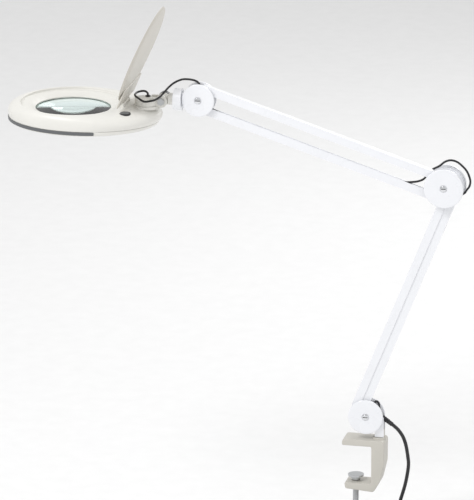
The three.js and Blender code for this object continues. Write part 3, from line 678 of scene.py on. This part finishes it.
TOP_PROFILE = [
    (110.5, 521.3), (112, 528), (111, 534), (107.5, 539), (101, 543), (93, 545.2), (86.5, 545.6),
    (84.3, 544.6), (84, 541.2), (70, 540.6), (60.5, 535.7), (60.5, 533.5), (63, 533.5), (69.5, 537.6),
    (83, 538.3), (87, 542.4), (93, 542.6), (100, 540.5), (105.5, 537), (108.5, 533), (109.4, 528),
    (108, 521.3),
]
BOTTOM_PROFILE = [
    (110.2, 520.9), (109, 515.5), (106.5, 513.6), (89.5, 513.6), (89.5, 515.6), (105.5, 515.6),
    (107.2, 517), (108, 520.9),
]
BUTTON = (-369.5, -50.0)
TILT_KNOB = (-319, 10.9, 555)
LIGHT_CHIPS = 60


def make_head_shells():
    shell = oval_form(softened(TOP_PROFILE, 4, 5, closed=True))
    piece("head_top_shell", moved(shell, IN_HEAD), "head_plastic", "head", ["top_housing"])
    pedestal = softened([(0, 542), (22.5, 542), (20.8, 544.5), (20.5, 547), (0, 547)], 1.6, 5)
    piece("hub_pedestal", moved(turned(pedestal), IN_HEAD @ at(HUB_X, 0, 0)), "head_plastic", "head")
    ridge = box_form(-375, HUB_X, -14, 14, 541.2, 544.6)
    piece("rear_ridge", moved(ridge, IN_HEAD), "head_plastic", "head", bevel=1.4, segments=4)
    for side, y0 in (("near", -24), ("far", 19)):
        x, z = COVER_AXIS.x, COVER_AXIS.z
        eye = [(x + 3.3 * math.cos(a), z + 3.3 * math.sin(a)) for a in [math.pi * k / 14 for k in range(15)]]
        lug = prism([*eye, (x - 3.6, 544), (x + 3.6, 544)], y0, y0 + 5)
        piece(f"hinge_lug_{side}", moved(lug, IN_HEAD), "head_plastic", "head", bevel=0.5)
    under = oval_form(softened(BOTTOM_PROFILE, 2, 4, closed=True))
    piece("head_bottom_shell", moved(under, IN_HEAD), "head_plastic", "head", ["bottom_housing"])


def make_bumper():
    """The dark strip round the front of the head's lower edge."""
    section = softened([(110.4, 515.4), (111.6, 516), (111.9, 520.6), (110.4, 521)], 0.5, 3)
    segments, reach = 120, math.radians(107)
    vertices, faces = [], []
    for k in range(segments + 1):
        angle = math.pi - reach + 2 * reach * k / segments
        for r, z in section:
            vertices.append(Vector((*to_oval(r * math.cos(angle), r * math.sin(angle)), z)))
    count = len(section)
    for k in range(segments):
        for i in range(count):
            n = (i + 1) % count
            low, high = k * count, (k + 1) * count
            faces.append([low + i, low + n, high + n, high + i])
    faces += [list(range(count)), list(range(len(vertices) - 1, len(vertices) - 1 - count, -1))]
    piece("bumper_strip", moved((vertices, faces), IN_HEAD), "grey_plastic", "head")


def make_optics():
    place = IN_HEAD @ at(LENS_X, 0, 0)
    radius, sag = 62.5, 5.6
    rise = [k / 16 for k in range(17)]
    upper = [(radius * t, 532.7 + sag * (1 - t * t)) for t in rise]
    lower = [(radius * t, 529.7 - sag * (1 - t * t)) for t in reversed(rise)]
    piece("magnifier_lens", moved(turned(upper + lower, 128), place),
          "lens_glass", "head", ["lens"], sharp=50)
    ring = softened([
        (58.5, 526), (66.4, 526), (66.4, 529.4), (62.5, 529.4), (58.5, 528.5),
    ], 0.6, 3, closed=True)
    piece("lens_retainer", moved(turned(ring, closed=True), place), "head_plastic", "head", ["lens_ring"])
    trough = softened([
        (66.8, 516), (69, 532.2), (87, 532.2), (89.2, 516), (88.2, 516), (86, 531.1), (70, 531.1),
        (67.8, 516),
    ], 1.2, 4, closed=True)
    piece("light_reflector", moved(turned(trough, closed=True), place),
          "reflector_white", "head", ["reflector"])
    window = softened([(69.1, 516.3), (86.9, 516.3), (86.6, 518.3), (69.4, 518.3)], 0.5, 3, closed=True)
    piece("light_window", moved(turned(window, closed=True), place), "diffuser_plastic", "head", ["diffuser"])
    chips = []
    for k in range(LIGHT_CHIPS):
        turn = Matrix.Rotation(2 * math.pi * k / LIGHT_CHIPS, 4, "Z")
        chips.append(moved(box_form(76.5, 79.5, -1.4, 1.4, 528.7, 529.5), turn))
    piece("light_chips", moved(joined(*chips), place), "diffuser_plastic", "head")


def make_lens_cover():
    """A shallow dish with a rolled rim, standing open on its hinge."""
    dish = softened([
        (0, 547.4), (60, 546.9), (76, 545.9), (81.5, 544.2), (83.5, 541.7), (81.8, 541.6),
        (80.5, 543), (75.5, 544.2), (60, 545.1), (0, 545.6),
    ], 5, 6)
    body = moved(turned(dish, 160), at(LENS_X, 0, 0))
    knuckle = tube_form([(COVER_AXIS.x, -18.5, COVER_AXIS.z), (COVER_AXIS.x, 18.5, COVER_AXIS.z)], 2.5, 32)
    strap = box_form(COVER_AXIS.x - 16, COVER_AXIS.x, -18.5, 18.5, COVER_AXIS.z - 2.6, COVER_AXIS.z + 0.6)
    hinge = IN_HEAD @ at(*COVER_AXIS) @ Matrix.Rotation(COVER_OPEN, 4, "Y") @ at(*-COVER_AXIS)
    piece("lens_lid", moved(body, hinge), "cover_beige", "lens_cover", ["lens_cover"], sharp=45)
    piece("lens_lid_knuckle", moved(knuckle, hinge), "cover_beige", "lens_cover")
    piece("lens_lid_strap", moved(strap, hinge), "cover_beige", "lens_cover", bevel=1.2)
    edge = box_form(COVER_AXIS.x - 36, COVER_AXIS.x - 3.9, -HINGE_EDGE_HALF, HINGE_EDGE_HALF,
                    COVER_AXIS.z - 2.5, COVER_AXIS.z - 0.1)
    piece("lens_lid_hinge_edge", moved(edge, hinge), "cover_beige", "lens_cover", bevel=1.0)


def make_button():
    place = IN_HEAD @ at(*BUTTON, 0)
    cap = softened([(0, 539), (7.6, 539), (7.6, 544.4), (6, 545.2), (0, 544.7)], 0.9, 5)
    piece("power_switch", moved(turned(cap, 64), place), "grey_plastic", "power_button", ["power_button"])
    bezel = softened([(8, 540), (10.2, 541.5), (9.6, 544.3), (8.1, 544.6)], 0.7, 4, closed=True)
    piece("switch_bezel", moved(turned(bezel, 64, closed=True), place), "black_plastic", "head")


def make_knob():
    """The fluted tilt knob on the far side of the knuckle."""
    grip = prism(lobed(10.1, 0.4, lobes=16, count=96), 0.3, 10.8)
    piece("tilt_knob_grip", moved(grip, IN_HEAD @ at(*TILT_KNOB)), "grey_plastic", "tilt_knob",
          ["tilt_knob"], bevel=0.8)


# ------------------------------------------------------------ clamp

THREAD_TOP = -64
HANDWHEEL_BOTTOM = -146


def make_clamp():
    outline = softened([
        (-20, 0.5), (28.3, 0.5), (28.3, -63), (-16, -63), (-14, -73), (31, -76.5), (34, -74), (42, -60),
        (49, -30), (49, 8), (46, 11), (-17, 11), (-20, 8),
    ], 3, 4, closed=True)
    piece("clamp_casting", prism([tuple(p) for p in outline], -18, 18), "cast_cream", "clamp",
          ["clamp_frame"], bevel=1.8, segments=4, sharp=50)
    collar = softened([(6.3, 9), (6.3, 13.7), (10.5, 13.7), (11.4, 9)], 0.9, 4, closed=True)
    piece("swivel_collar", moved(turned(collar, 64, closed=True), at(SWIVEL_X, 0, 0)), "cast_cream", "clamp")


def make_clamp_screw():
    """The clamp screw's threaded shank and the lobed handwheel under it."""
    shank = turned(softened([
        (0, -56.8), (4, -56.8), (4, -62), (4.3, -62.6), (4.3, -121), (3.8, -129), (0, -129),
    ], 0.4), 40)
    down = at(0, 0, THREAD_TOP) @ Matrix.Rotation(math.pi / 2, 4, "Y")
    thread = moved(tube_form(helix(4.45, 56, 28, 20), 0.55, 6), down)
    piece("clamp_spindle", joined(shank, thread), "steel", "clamp_screw", ["clamp_screw"], sharp=50)
    wheel = prism(lobed(16.8, 1.2, lobes=6, count=120), 0, 22)
    grip = moved(wheel, at(0, 0, HANDWHEEL_BOTTOM) @ Matrix.Rotation(math.pi / 2, 4, "X"))
    piece("clamp_handwheel", grip, "black_plastic", "clamp_screw", ["clamp_knob"], bevel=2.4, segments=5)


make_stage()
make_joint_covers()
make_springs()
make_head_shells()
make_bumper()
make_optics()
make_lens_cover()
make_button()
make_knob()
make_clamp()
make_clamp_screw()
finish_cad_nodes()
